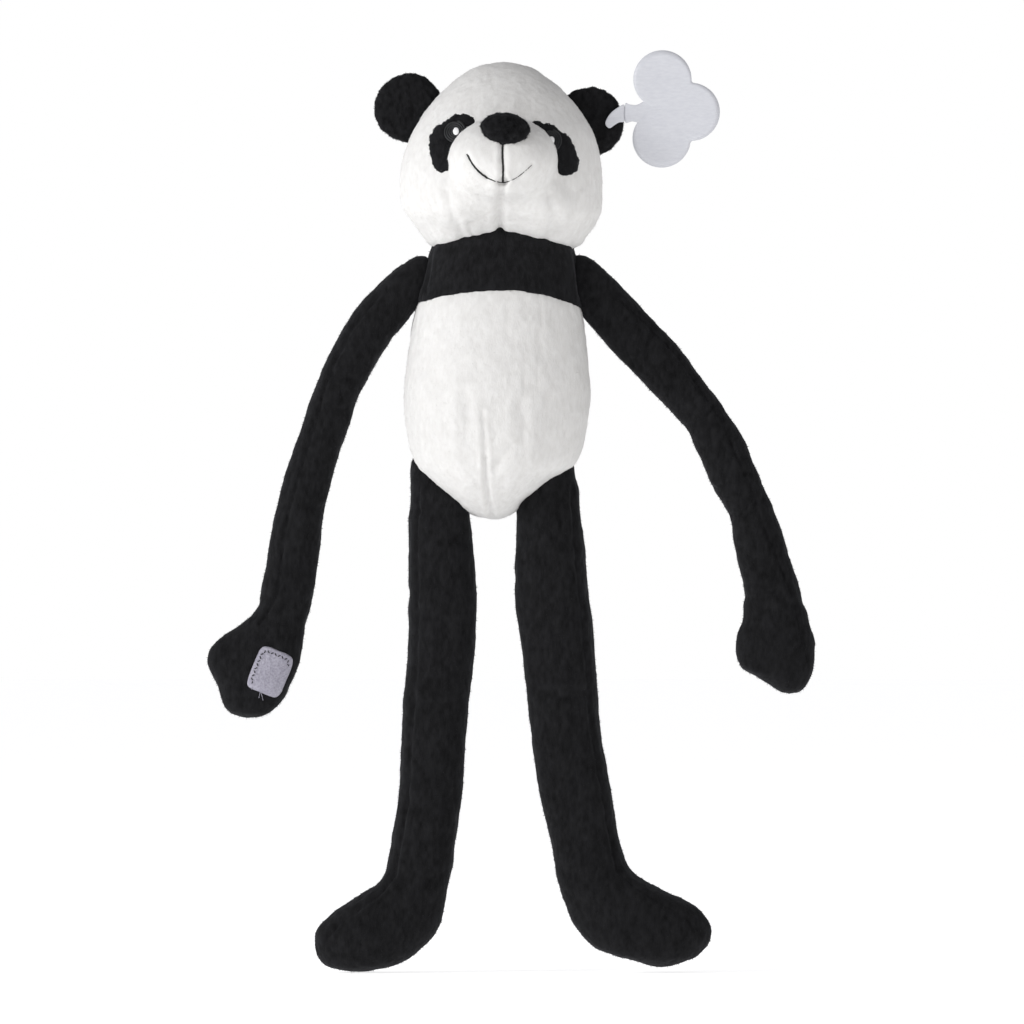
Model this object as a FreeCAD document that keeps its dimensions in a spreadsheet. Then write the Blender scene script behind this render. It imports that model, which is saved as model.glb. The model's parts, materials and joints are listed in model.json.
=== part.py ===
"""Long-limbed plush panda with hook-and-loop patches on its hands.

The toy stands upright and faces -Y, with +X on its own left and +Z up. The origin is the middle of
the torso. Every cover is a shell of plush with its own stuffing inside. The limbs are limp tubes:
each is thin at its sewn seam and at its elbow or knee, where it folds.
"""

import FreeCAD, Part
import os

# Torso outline from the neck seam down: height, sideways shift, width, depth.
TORSO_LEVELS = [
    (90.2, 0, 44, 5),
    (87.5, 0, 78, 20),
    (82, 0, 87, 38),
    (70, 0, 93, 58),
    (57, 0, 98, 72),
    (30, -1, 107, 82),
    (6, -1.8, 111, 86),
    (-20, -2.5, 108, 83),
    (-40, -3, 96, 70),
    (-55, -3.4, 68, 50),
    (-65, -3.6, 42, 30),
    (-70, -3.6, 20, 14),
]

# Head outline from the neck up: height, sideways shift, width, depth.
HEAD_LEVELS = [
    (91.8, 1.8, 56, 5),
    (94.5, 1.8, 88, 24),
    (99, 1.8, 101, 46),
    (108, 1.8, 112, 74),
    (122, 1.8, 120.5, 98),
    (138, 1.8, 120.5, 106),
    (155, 1.8, 112, 105),
    (172, 1.8, 97, 94),
    (186, 1.8, 75, 73),
    (196, 1.8, 44, 42),
    (201, 1.8, 16, 15),
]

# Limb profiles: share of the run from its start, share of the limb's width, share of its depth.
# A run is thin where it is sewn on and where it folds, so that it can bend there.
UPPER_ARM_PROFILE = [
    (0.008, 0.5, 0.05),
    (0.15, 0.78, 0.5),
    (0.32, 1.0, 1.0),
    (0.83, 1.0, 1.0),
    (0.991, 1.0, 0.05),
]
FOREARM_PROFILE = [(0.008, 1.0, 0.05), (0.13, 1.0, 1.0), (0.85, 1.0, 1.0), (1.0, 1.0, 0.9)]
HAND_PROFILE = [
    (0.0, 0.5, 0.8),
    (0.3, 0.88, 0.95),
    (0.6, 1.0, 1.0),
    (0.82, 0.86, 0.9),
    (0.95, 0.5, 0.6),
    (1.0, 0.2, 0.25),
]
THIGH_PROFILE = [
    (0.007, 0.5, 0.04),
    (0.12, 0.72, 0.3),
    (0.28, 1.0, 0.85),
    (0.4, 1.0, 1.0),
    (0.83, 1.0, 1.0),
    (0.993, 1.0, 0.04),
]
SHIN_PROFILE = [(0.0065, 1.0, 0.04), (0.16, 1.0, 1.0), (0.8, 1.0, 1.0), (1.0, 0.9, 0.9)]
FOOT_PROFILE = [
    (0.0, 0.3, 0.3),
    (0.06, 0.7, 0.7),
    (0.2, 1.0, 1.0),
    (0.7, 1.0, 1.0),
    (0.92, 0.72, 0.75),
    (1.0, 0.3, 0.35),
]

# Joints of the limbs in the frontal plane, X then Z: the right side of the toy is at -X.
LIMB_POINTS = {
    "right_shoulder": (-54, 70),
    "right_elbow": (-102, -7),
    "right_wrist": (-129, -124),
    "right_palm": (-131, -112),
    "right_fingertip": (-152, -190),
    "right_hip": (-40, -63),
    "right_knee": (-38, -174),
    "right_ankle": (-50, -300),
    "right_heel": (-30, -296),
    "right_toe": (-111, -329),
    "left_shoulder": (54.5, 70),
    "left_elbow": (124, -12),
    "left_wrist": (164, -118),
    "left_palm": (160, -104),
    "left_fingertip": (173, -176),
    "left_hip": (33, -63),
    "left_knee": (37, -174),
    "left_ankle": (58, -300),
    "left_heel": (35, -294),
    "left_toe": (127, -322),
}

SIZES = {
    "cover": 2.0,
    "arm_width": 30,
    "arm_depth": 24,
    "right_hand_width": 52,
    "left_hand_width": 47,
    "hand_depth": 25,
    "leg_width": 39,
    "leg_depth": 30,
    "foot_width": 40,
    "foot_depth": 34,
    "chest_band_low": 57,
    "muzzle_x": 2,
    "muzzle_y": -46,
    "muzzle_z": 145,
    "muzzle_width": 65,
    "muzzle_depth": 46,
    "muzzle_height": 48,
    "nose_x": 3,
    "nose_y": -66,
    "nose_z": 163,
    "nose_width": 29,
    "nose_depth": 16,
    "nose_height": 18,
    "mouth_x": 1,
    "mouth_z": 151,
    "mouth_radius": 21.5,
    "mouth_stitch": 1.4,
    "mouth_line_top": 154,
    "smile_cut_z": 146,
    "thread_rise": 0.5,
    "eye_patch_rise": 1.4,
    "eye_rise": 2.0,
    "highlight_rise": 2.5,
    "eye_patch_length": 42,
    "eye_patch_width": 27,
    "eye_patch_lean": 32,
    "eye_patch_x": 29,
    "eye_patch_z": 152,
    "eye_x": 27,
    "eye_z": 159,
    "eye_diameter": 13,
    "highlight_diameter": 5,
    "ear_x": 54,
    "ear_y": 10,
    "right_ear_z": 175,
    "left_ear_z": 168,
    "ear_diameter": 42,
    "ear_depth": 13,
    "tag_thick": 0.6,
    "tag_y": 2.5,
    "tag_lobe": 35,
    "tag_hinge_x": 75,
    "tag_fold_gap": 0.5,
    "tag_stem_z": 172,
    "tag_stem_width": 10,
    "tag_strap_long": 11,
    "patch_wide": 20,
    "patch_long": 25,
    "patch_turn": 22,
    "patch_face_y": 13.6,
    "right_patch_x": -137.7,
    "right_patch_z": -163,
    "left_patch_x": 168,
    "left_patch_z": -148,
}

# Centres of the tag's three round lobes, X then Z.
TAG_LOBES = [(97.5, 192.5), (114.5, 173), (97, 157)]

SIDES = {"right": -1, "left": 1}
FOLDS = {"elbow": ("shoulder", "wrist"), "knee": ("hip", "ankle")}
NEAR_FOLD = 0.02
FAR = 400.0
MIDDLE_PLANE = 0.0

doc = FreeCAD.newDocument("plush_panda")
nodes = []


def fill_sheet():
    """One row for each driving dimension: its name, and its value under that alias."""
    sheet = doc.addObject("Spreadsheet::Sheet", "Sizes")
    values = dict(SIZES)
    for name, (x, z) in LIMB_POINTS.items():
        values[name + "_x"] = x
        values[name + "_z"] = z
    for form, levels in (("torso", TORSO_LEVELS), ("head", HEAD_LEVELS)):
        for number, level in enumerate(levels):
            for part, value in zip(("level", "shift", "width", "depth"), level):
                values[f"{form}_{part}_{number}_"] = value
    for number, (x, z) in enumerate(TAG_LOBES):
        values[f"tag_lobe_{number}_x"] = x
        values[f"tag_lobe_{number}_z"] = z
    for row, (name, value) in enumerate(values.items(), start=1):
        sheet.set(f"A{row}", name)
        sheet.set(f"B{row}", str(value))
        sheet.setAlias(f"B{row}", name)
    doc.recompute()


def place(piece, x, y, z, turn="0"):
    """Bind a piece's place to the sheet, turned about Y."""
    words = f"placement(vector({x}; {y}; {z}); rotation(vector(0; 1; 0); {turn}))"
    piece.setExpression("Placement", words)


def ring(x, z, width, depth, turn="0"):
    """An ellipse across a form, at (x, z) in the frontal plane."""
    piece = doc.addObject("Part::Ellipse", "Ring")
    piece.setExpression("MajorRadius", f"({width}) / 2")
    piece.setExpression("MinorRadius", f"({depth}) / 2")
    place(piece, x, "0", z, turn)
    return piece


def loft(rings, ruled):
    piece = doc.addObject("Part::Loft", "Form")
    piece.Sections = rings
    piece.Solid = True
    piece.Ruled = ruled
    return piece


def trunk(form, levels, grow):
    """The torso or the head as a smooth loft, made bigger or smaller all round by grow."""
    middle = f"(Sizes.{form}_level_0_ + Sizes.{form}_level_{len(levels) - 1}_) / 2"
    half = f"abs(Sizes.{form}_level_0_ - Sizes.{form}_level_{len(levels) - 1}_) / 2"
    rings = []
    for number in range(len(levels)):
        level = f"Sizes.{form}_level_{number}_"
        height = f"{middle} + ({level} - ({middle})) * ({half} + {grow}) / ({half})"
        slim = f"(1 + 2 * {grow} / (Sizes.{form}_depth_{len(levels) // 2}_))"
        rings.append(
            ring(
                f"Sizes.{form}_shift_{number}_",
                height,
                f"Sizes.{form}_width_{number}_ * {slim}",
                f"Sizes.{form}_depth_{number}_ * {slim}",
            )
        )
    return loft(rings, False)


def run_lean(above, below):
    """Words for the angle from vertical of the run between two of a limb's points."""
    run_x = f"Sizes.{above}_x - Sizes.{below}_x"
    run_z = f"Sizes.{above}_z - Sizes.{below}_z"
    return f"atan(({run_x}) / ({run_z}))"


def ring_lean(start, end, share):
    """A ring lies square to its run, or half way between two runs where the limb folds."""
    side = start.split("_")[0]
    point = start if share < NEAR_FOLD else end if share > 1 - NEAR_FOLD else ""
    for joint, (above, below) in FOLDS.items():
        if point.endswith(joint):
            upper = run_lean(f"{side}_{above}", f"{side}_{joint}")
            lower = run_lean(f"{side}_{joint}", f"{side}_{below}")
            return f"({upper} + {lower}) / 2"
    return run_lean(start, end)


def tube(start, end, width, depth, profile, inset):
    """A straight run of a limb from one named point to another, with its width and depth along it."""
    rings = []
    for share, wide, deep in profile:
        if deep * SIZES[depth] <= 2 * inset + 1:
            continue
        rings.append(
            ring(
                f"Sizes.{start}_x + (Sizes.{end}_x - Sizes.{start}_x) * {share}",
                f"Sizes.{start}_z + (Sizes.{end}_z - Sizes.{start}_z) * {share}",
                f"Sizes.{width} * {wide} - 2 * {inset}",
                f"Sizes.{depth} * {deep} - 2 * {inset}",
                ring_lean(start, end, share),
            )
        )
    return loft(rings, True)


def inner_profile(profile):
    """The stuffing stops a little short of the cover at each end of a run."""
    first, last = profile[0][0], profile[-1][0]
    margin = 0.03
    squeezed = []
    for share, wide, deep in profile:
        squeezed.append((min(max(share, first + margin), last - margin), wide, deep))
    return squeezed


def combine(kind, base, tool):
    piece = doc.addObject(kind, "Piece")
    piece.Base = base
    piece.Tool = tool
    return piece


def cut(base, *tools):
    for tool in tools:
        base = combine("Part::Cut", base, tool)
    return base


def common(base, tool):
    return combine("Part::Common", base, tool)


def fuse(pieces):
    if len(pieces) == 1:
        return pieces[0]
    piece = doc.addObject("Part::MultiFuse", "Whole")
    piece.Shapes = pieces
    return piece


def block(low, high):
    """A box between two corners, each given as three words or numbers."""
    piece = doc.addObject("Part::Box", "Block")
    for size, below, above in zip(("Length", "Width", "Height"), low, high):
        piece.setExpression(size, f"{above} - ({below})")
    place(piece, *low)
    return piece


def front_half():
    return block((-FAR, -FAR, -FAR), (FAR, MIDDLE_PLANE, FAR))


def back_half():
    return block((-FAR, MIDDLE_PLANE, -FAR), (FAR, FAR, FAR))


def ball(x, y, z, width, depth, height, grow="0"):
    """An ellipsoid with its middle at (x, y, z)."""
    piece = doc.addObject("Part::Ellipsoid", "Ball")
    piece.setExpression("Radius1", f"({height}) / 2 + {grow}")
    piece.setExpression("Radius2", f"({width}) / 2 + {grow}")
    piece.setExpression("Radius3", f"({depth}) / 2 + {grow}")
    place(piece, x, y, z)
    return piece


def rod(x, y, z, radius, long):
    """A cylinder along Y, from y towards +Y."""
    piece = doc.addObject("Part::Cylinder", "Rod")
    piece.setExpression("Radius", radius)
    piece.setExpression("Height", str(long))
    turn = "rotation(vector(1; 0; 0); -90)"
    piece.setExpression("Placement", f"placement(vector({x}; {y}; {z}); {turn})")
    return piece


def keep(name, piece):
    """Make a piece one of the part's nodes."""
    piece.Label = name
    nodes.append(piece)
    return piece


def covers(name, outer, inner):
    """Front and back plush panels round one stuffing."""
    shell = cut(outer, inner)
    keep(name + "_front", common(shell, front_half()))
    keep(name + "_back", common(shell, back_half()))
    keep(name + "_stuffing", inner)


def limb(name, runs):
    """One stuffed stretch of a limb, made of one or two tubes."""
    outer = fuse([tube(*run, 0) for run in runs])
    inner = fuse([tube(*run[:4], inner_profile(run[4]), SIZES["cover"]) for run in runs])
    covers(name, outer, inner)
    return outer


def arm(side):
    upper = (f"{side}_shoulder", f"{side}_elbow", "arm_width", "arm_depth", UPPER_ARM_PROFILE)
    limb(f"{side}_upper_arm", [upper])
    lower = (f"{side}_elbow", f"{side}_wrist", "arm_width", "arm_depth", FOREARM_PROFILE)
    hand = (f"{side}_palm", f"{side}_fingertip", f"{side}_hand_width", "hand_depth", HAND_PROFILE)
    return limb(f"{side}_forearm", [lower, hand])


def leg(side):
    upper = (f"{side}_hip", f"{side}_knee", "leg_width", "leg_depth", THIGH_PROFILE)
    limb(f"{side}_thigh", [upper])
    lower = (f"{side}_knee", f"{side}_ankle", "leg_width", "leg_depth", SHIN_PROFILE)
    foot = (f"{side}_heel", f"{side}_toe", "foot_width", "foot_depth", FOOT_PROFILE)
    limb(f"{side}_shin", [lower, foot])


def hand_patch(side, name, forearm, facing):
    """A square of fastener tape with a flat face; its back follows the hand that it is sewn to."""
    tape = doc.addObject("Part::Box", "Tape")
    tape.setExpression("Length", "Sizes.patch_wide")
    tape.setExpression("Width", "Sizes.patch_face_y")
    tape.setExpression("Height", "Sizes.patch_long")
    middle = f"vector(Sizes.{side}_patch_x; {facing} * Sizes.patch_face_y / 2; Sizes.{side}_patch_z)"
    turn = f"rotation(vector(0; 1; 0); {-SIDES[side]} * Sizes.patch_turn)"
    corner = "vector(-Sizes.patch_wide / 2; -Sizes.patch_face_y / 2; -Sizes.patch_long / 2)"
    flat = "rotation(vector(0; 1; 0); 0)"
    tape.setExpression(
        "Placement", f"placement({middle}; {turn}) * placement({corner}; {flat})"
    )
    keep(name, cut(tape, forearm))


def torso():
    shell = cut(trunk("torso", TORSO_LEVELS, 0), trunk("torso", TORSO_LEVELS, -SIZES["cover"]))
    band = block((-FAR, -FAR, "Sizes.chest_band_low"), (FAR, FAR, FAR))
    body = block((-FAR, -FAR, -FAR), (FAR, FAR, "Sizes.chest_band_low"))
    keep("chest_band_front", common(common(shell, band), front_half()))
    keep("chest_band_back", common(common(shell, band), back_half()))
    keep("belly_panel", common(common(shell, body), front_half()))
    keep("back_panel", common(common(shell, body), back_half()))
    keep("torso_stuffing", trunk("torso", TORSO_LEVELS, -SIZES["cover"]))


def muzzle_form(grow):
    middle = ("Sizes.muzzle_x", "Sizes.muzzle_y", "Sizes.muzzle_z")
    return ball(*middle, "Sizes.muzzle_width", "Sizes.muzzle_depth", "Sizes.muzzle_height", grow)


def muzzle(face):
    outer = muzzle_form("0")
    inner = muzzle_form("-Sizes.cover")
    keep("muzzle_cover", cut(outer, inner, face))
    keep("muzzle_stuffing", cut(inner, face))
    return outer


def nose(face, snout):
    middle = ("Sizes.nose_x", "Sizes.nose_y", "Sizes.nose_z")
    pad = ball(*middle, "Sizes.nose_width", "Sizes.nose_depth", "Sizes.nose_height")
    keep("nose", cut(pad, snout, face))
    return pad


def mouth(face, snout, pad):
    """A smile and a lip line of thread, lying on the muzzle."""
    stitch = "Sizes.mouth_stitch"
    outline = rod("Sizes.mouth_x", -FAR, "Sizes.mouth_z", f"Sizes.mouth_radius + {stitch} / 2", FAR)
    hollow = rod("Sizes.mouth_x", -FAR, "Sizes.mouth_z", f"Sizes.mouth_radius - {stitch} / 2", FAR)
    below = block((-FAR, -FAR, -FAR), (FAR, MIDDLE_PLANE, "Sizes.smile_cut_z"))
    smile = common(cut(outline, hollow), below)
    low = (f"Sizes.mouth_x - {stitch} / 2", -FAR, "Sizes.mouth_z - Sizes.mouth_radius")
    high = (f"Sizes.mouth_x + {stitch} / 2", MIDDLE_PLANE, "Sizes.mouth_line_top")
    line = block(low, high)
    raised = muzzle_form("Sizes.thread_rise")
    keep("mouth_stitching", cut(common(fuse([smile, line]), raised), snout, face, pad))


def eye(side, face, snout, rises):
    """A leaning oval of black plush, with an embroidered eye and its highlight laid on it."""
    sign = SIDES[side]
    patch_rise, eye_rise, highlight_rise = rises
    oval = doc.addObject("Part::Ellipse", "Oval")
    oval.setExpression("MajorRadius", "Sizes.eye_patch_length / 2")
    oval.setExpression("MinorRadius", "Sizes.eye_patch_width / 2")
    upright = "rotation(vector(1; 0; 0); 90)"
    lean = f"rotation(vector(0; 1; 0); -90 + {sign} * Sizes.eye_patch_lean)"
    corner = f"vector({sign} * Sizes.eye_patch_x + Sizes.muzzle_x; {-FAR}; Sizes.eye_patch_z)"
    oval.setExpression("Placement", f"placement({corner}; {lean} * {upright})")
    prism = doc.addObject("Part::Extrusion", "Prism")
    prism.Base = oval
    prism.DirMode = "Custom"
    prism.Dir = FreeCAD.Vector(0, 1, 0)
    prism.LengthFwd = FAR
    prism.Solid = True
    keep(f"{side}_eye_patch", cut(common(prism, patch_rise), face, snout))
    place_x = f"{sign} * Sizes.eye_x + Sizes.muzzle_x"
    disc = rod(place_x, -FAR, "Sizes.eye_z", "Sizes.eye_diameter / 2", FAR)
    keep(f"{side}_eye", cut(common(common(disc, prism), eye_rise), patch_rise, snout))
    dot = rod(place_x, -FAR, "Sizes.eye_z", "Sizes.highlight_diameter / 2", FAR)
    keep(f"{side}_eye_highlight", cut(common(dot, highlight_rise), eye_rise, snout))


def ear(side, face):
    middle = (f"{SIDES[side]} * Sizes.ear_x + Sizes.muzzle_x / 2", "Sizes.ear_y", f"Sizes.{side}_ear_z")
    disc = ball(*middle, "Sizes.ear_diameter", "Sizes.ear_depth", "Sizes.ear_diameter")
    free = cut(disc, face)
    seam_y = "Sizes.ear_y"
    keep(f"{side}_ear_front", common(free, block((-FAR, -FAR, -FAR), (FAR, seam_y, FAR))))
    keep(f"{side}_ear_back", common(free, block((-FAR, seam_y, -FAR), (FAR, FAR, FAR))))
    return disc


def head():
    face = trunk("head", HEAD_LEVELS, 0)
    inner = trunk("head", HEAD_LEVELS, -SIZES["cover"])
    shell = cut(face, inner)
    keep("face_panel", common(shell, front_half()))
    keep("head_back_panel", common(shell, back_half()))
    keep("head_stuffing", inner)
    snout = muzzle(face)
    pad = nose(face, snout)
    mouth(face, snout, pad)
    rises = [
        trunk("head", HEAD_LEVELS, SIZES[f"{layer}_rise"])
        for layer in ("eye_patch", "eye", "highlight")
    ]
    for side in SIDES:
        eye(side, face, snout, rises)
    ear("right", face)
    return ear("left", face)


def tag(left_ear):
    """A thin three-lobed swing tag, and the strap that holds it over the left ear's edge."""
    thick = "Sizes.tag_thick"
    stem_low = f"Sizes.tag_stem_z - Sizes.tag_stem_width / 2"
    stem_high = f"Sizes.tag_stem_z + Sizes.tag_stem_width / 2"
    lobes = []
    for number in range(len(TAG_LOBES)):
        lobe_x, lobe_z = f"Sizes.tag_lobe_{number}_x", f"Sizes.tag_lobe_{number}_z"
        lobes.append(rod(lobe_x, "Sizes.tag_y", lobe_z, "Sizes.tag_lobe / 2", thick))
    far_y = f"Sizes.tag_y + {thick}"
    lobes.append(
        block(
            ("Sizes.tag_hinge_x + Sizes.tag_fold_gap", "Sizes.tag_y", stem_low),
            ("Sizes.tag_lobe_1_x", far_y, stem_high),
        )
    )
    keep("swing_tag", fuse(lobes))
    near_x = "Sizes.tag_hinge_x - Sizes.tag_strap_long"
    strap = block((near_x, "Sizes.tag_y", stem_low), ("Sizes.tag_hinge_x", far_y, stem_high))
    keep("tag_strap", cut(strap, left_ear))


def check_and_write():
    doc.recompute()
    for piece in doc.Objects:
        failed = "Invalid" in piece.State or "Error" in piece.State
        if failed:
            raise RuntimeError(f"{piece.Name} ({piece.Label}) did not recompute: {piece.State}")
    for piece in nodes:
        if piece.Shape.isNull() or not piece.Shape.isValid() or not piece.Shape.Solids:
            raise RuntimeError(f"{piece.Label} has no valid solid")
    os.makedirs("parts", exist_ok=True)
    for piece in nodes:
        piece.Shape.exportStep(f"parts/{piece.Label}.step")


fill_sheet()
torso()
tag(head())
hands = {side: arm(side) for side in SIDES}
hand_patch("right", "right_hand_patch", hands["right"], -1)
hand_patch("left", "left_hand_patch", hands["left"], 1)
for side in SIDES:
    leg(side)
check_and_write()
print(len(nodes), "nodes")
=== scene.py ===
"""Plush panda, the visual model. Lengths in the tables and in the mesh code are millimetres."""
import json
import math

import bpy
import numpy as np
from mathutils.bvhtree import BVHTree
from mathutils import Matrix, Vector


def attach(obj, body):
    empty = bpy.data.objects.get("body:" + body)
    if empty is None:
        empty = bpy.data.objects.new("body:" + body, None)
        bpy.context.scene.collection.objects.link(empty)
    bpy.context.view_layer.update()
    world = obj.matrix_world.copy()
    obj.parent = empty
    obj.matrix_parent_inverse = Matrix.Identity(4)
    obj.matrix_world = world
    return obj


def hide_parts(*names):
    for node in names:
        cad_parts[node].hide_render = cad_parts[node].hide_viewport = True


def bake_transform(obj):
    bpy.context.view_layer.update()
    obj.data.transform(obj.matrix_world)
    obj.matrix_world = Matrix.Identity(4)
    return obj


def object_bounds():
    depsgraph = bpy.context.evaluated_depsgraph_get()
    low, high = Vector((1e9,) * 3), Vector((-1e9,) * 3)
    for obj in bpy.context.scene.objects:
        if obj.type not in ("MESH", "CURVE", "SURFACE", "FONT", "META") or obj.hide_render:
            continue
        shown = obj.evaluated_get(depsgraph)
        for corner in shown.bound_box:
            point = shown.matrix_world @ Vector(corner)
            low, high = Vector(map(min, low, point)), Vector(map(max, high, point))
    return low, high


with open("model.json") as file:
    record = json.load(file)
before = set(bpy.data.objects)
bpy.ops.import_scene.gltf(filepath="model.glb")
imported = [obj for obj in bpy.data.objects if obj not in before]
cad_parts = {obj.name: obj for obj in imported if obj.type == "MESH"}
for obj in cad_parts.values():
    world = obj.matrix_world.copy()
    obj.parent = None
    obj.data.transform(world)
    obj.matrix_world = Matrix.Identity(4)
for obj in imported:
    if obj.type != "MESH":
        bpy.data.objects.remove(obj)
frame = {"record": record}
cad_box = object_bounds()

MM = 0.001
TURN = 2 * math.pi
FRONT, BACK = -1, 1
VOXEL = 1.3
FINE_VOXEL = 1.1
LIMB_VOXEL = 1.25
PILE_SEED = 20

# ---------------------------------------------------------------- rows and stations
# A row is height, left edge, right edge, depth to the front, depth to the back.
HEAD_ROWS = [
    (203, 1.8, 1.8, 0, 0), (199.4, -14.5, 18, 13, 13), (195.4, -22, 25.4, 20, 20),
    (187, -32.6, 36, 28, 30), (176, -42.6, 46, 36, 38), (162, -51.6, 55, 43, 45),
    (148, -57.5, 59.6, 47, 49), (134, -59.8, 61.2, 49, 50), (122, -59.6, 61.4, 48, 49),
    (113, -57, 61, 45, 46), (108, -53.5, 58.5, 42, 44), (103, -49.8, 56.2, 38, 41),
    (98, -46, 52, 34, 37), (93.4, -42.5, 49, 29, 32), (90.2, -36, 42, 22, 26),
    (88, -24, 28, 14, 18), (87, 2, 2, 0, 0),
]
BAND_ROWS = [
    (111, 1, 1, 0, 0), (108, -18, 20, 18, 18), (103, -30, 33, 27, 27), (97, -38, 41, 30, 30),
    (91, -41.4, 44.6, 32, 32), (84, -43.5, 46, 34, 34), (75, -45.8, 47.6, 36, 36),
    (66, -48, 48.3, 37.5, 37.5), (60, -49.9, 49.3, 38.4, 38.4), (57, -49.6, 49, 38, 38),
    (53, -40, 40, 28, 28), (50, 0, 0, 0, 0),
]
TORSO_ROWS = [
    (74, 1, 1, 0, 0), (70, -38, 38, 26, 26), (64, -46, 46, 34, 34), (58, -49.2, 48.8, 37, 37),
    (54, -50.8, 50, 39, 39), (44, -52.8, 51, 41.5, 41.5), (30, -54.8, 52.2, 43, 43),
    (14, -57, 53.6, 44, 44), (0, -57.6, 54, 44, 44.5), (-14, -56.8, 52.6, 43.5, 44),
    (-28, -54, 49.6, 42, 42.5), (-39, -50.4, 45, 39.5, 40), (-47, -43.5, 32.8, 36, 37),
    (-54, -35.8, 23.4, 31, 32), (-61, -27.2, 14, 25, 26), (-67, -19.8, 9.6, 17, 18),
    (-70.4, -12, 3, 8, 9), (-71.6, -4.6, -4.6, 0, 0),
]
LEG_ROWS = {
    "right": [
        (-32.6, -48, -48, 0, 0), (-36, -53.2, -36, 8, 8), (-45, -53.4, -25, 13, 13),
        (-54, -53.4, -20, 15, 15), (-63, -53.6, -18.6, 15.8, 15.8), (-72, -54.8, -17.6, 16, 16),
        (-84, -55.2, -16.4, 16, 16), (-102, -54.9, -15, 16, 16), (-120, -54.6, -13.9, 16, 16),
        (-138, -55, -14.4, 16, 16), (-156, -55.8, -15.6, 16, 16), (-174, -57.4, -17.6, 16, 16),
        (-192, -58.8, -19.6, 15.5, 15.5), (-210, -59.4, -20.8, 15, 15), (-228, -60.2, -21.8, 15, 15),
        (-246, -62, -24, 15, 15), (-262, -64.6, -26.2, 15.5, 15.5), (-276, -67.2, -27.8, 16, 16),
        (-284, -69.2, -29.6, 16.5, 16.5), (-290, -73.5, -31, 17, 17), (-295, -81, -31.9, 17.5, 17.5),
        (-300, -89.2, -32.5, 18, 18), (-306, -98.2, -33.5, 18, 18), (-312, -105, -34.8, 18, 18),
        (-318, -110, -37.4, 18, 18), (-324, -111.4, -42, 17.5, 17.5), (-330, -110.6, -48.4, 16, 16),
        (-336, -108, -56.5, 13, 13), (-340.5, -102, -68, 9, 9), (-343.2, -87, -87, 0, 0),
    ],
    "left": [
        (-35, 38, 38, 0, 0), (-38.4, 25, 43.8, 8, 8), (-46, 15, 44.8, 13, 13),
        (-54, 11.5, 47.4, 15, 15), (-63, 10, 47.8, 15.8, 15.8), (-72, 9.6, 48.8, 16, 16),
        (-84, 9.6, 50.4, 16, 16), (-102, 9, 52, 16, 16), (-120, 9.2, 54, 16, 16),
        (-138, 11.4, 55.8, 16, 16), (-156, 13.8, 57.2, 16, 16), (-174, 16, 58.6, 16, 16),
        (-192, 18, 59.8, 15.5, 15.5), (-210, 20, 62.4, 15, 15), (-228, 22.2, 65.4, 15, 15),
        (-246, 26, 68.6, 15, 15), (-264, 30, 71.6, 15.5, 15.5), (-276, 32.4, 75.4, 16, 16),
        (-282, 33.2, 78.5, 16.5, 16.5), (-288, 34.8, 86, 17, 17), (-294, 36.4, 98, 17.5, 17.5),
        (-300, 38, 110.5, 18, 18), (-306, 40.2, 120, 18, 18), (-312, 42.6, 124.8, 18, 18),
        (-318, 46.8, 126.8, 18, 18), (-324, 51.6, 126.2, 17, 17), (-330, 59, 122, 15, 15),
        (-336, 79, 113.6, 10.5, 10.5), (-340.2, 97, 97, 0, 0),
    ],
}
HAND_ROWS = {
    "right": [
        (-112, -128, -128, 0, 0), (-118, -140, -116, 10, 10), (-126, -146.4, -114.5, 12, 12),
        (-132, -151.8, -115.8, 12.5, 12.5), (-138, -161, -117, 13, 13), (-144, -169.2, -118.2, 13, 13),
        (-150, -174.4, -118.8, 13, 13), (-157, -175.8, -120, 13, 13), (-164, -173.6, -122.8, 13, 13),
        (-171, -170, -125.6, 12.5, 12.5), (-178, -167.6, -129, 12, 12), (-184.5, -165, -134.2, 10.5, 10.5),
        (-188.5, -160.6, -139.4, 8, 8), (-191, -151, -151, 0, 0),
    ],
    "left": [
        (-112, 164, 164, 0, 0), (-118, 148, 178, 10, 10), (-126, 145.9, 184, 12, 12),
        (-133, 145.3, 185.6, 13, 13), (-140, 142.2, 187.8, 13, 13), (-148, 141.3, 189, 13, 13),
        (-155, 141.8, 189.2, 13, 13), (-161, 145.5, 188, 13, 13), (-166, 153.5, 186.6, 12, 12),
        (-171, 161.5, 184, 10, 10), (-174.5, 167, 180.6, 6.5, 6.5), (-176.3, 173.5, 173.5, 0, 0),
    ],
}
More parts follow.
